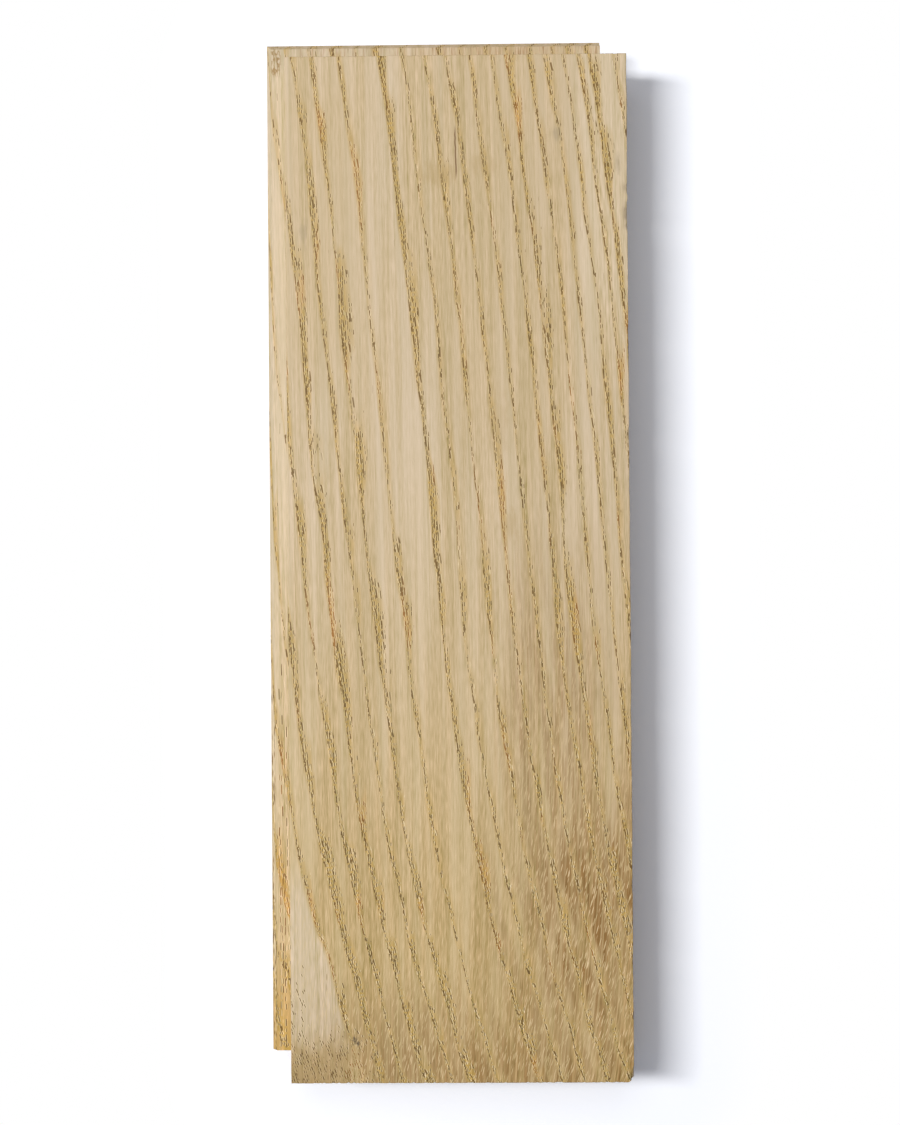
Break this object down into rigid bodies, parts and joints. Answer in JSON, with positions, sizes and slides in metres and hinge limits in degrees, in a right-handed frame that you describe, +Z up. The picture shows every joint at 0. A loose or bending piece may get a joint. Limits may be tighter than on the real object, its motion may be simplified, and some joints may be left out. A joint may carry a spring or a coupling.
{
  "type": "herringbone parquet block",
  "caption": "Solid oak floor block, three widths long, with a tongue on one long side and one end and a groove on the other side and end.",
  "frame": {"origin": "middle of the underside, straight below the middle of the face", "axes": "+X across the width towards the grooved side, +Y along the grain towards the tongued end, +Z up through the face"},
  "size_m": [0.0745, 0.2145, 0.02],
  "materials": {
    "oak": "bare planed and sanded oak, with no oil or lacquer"
  },
  "bodies": {
    "root": {"parquet_block": "oak"}
  },
  "joints": []
}
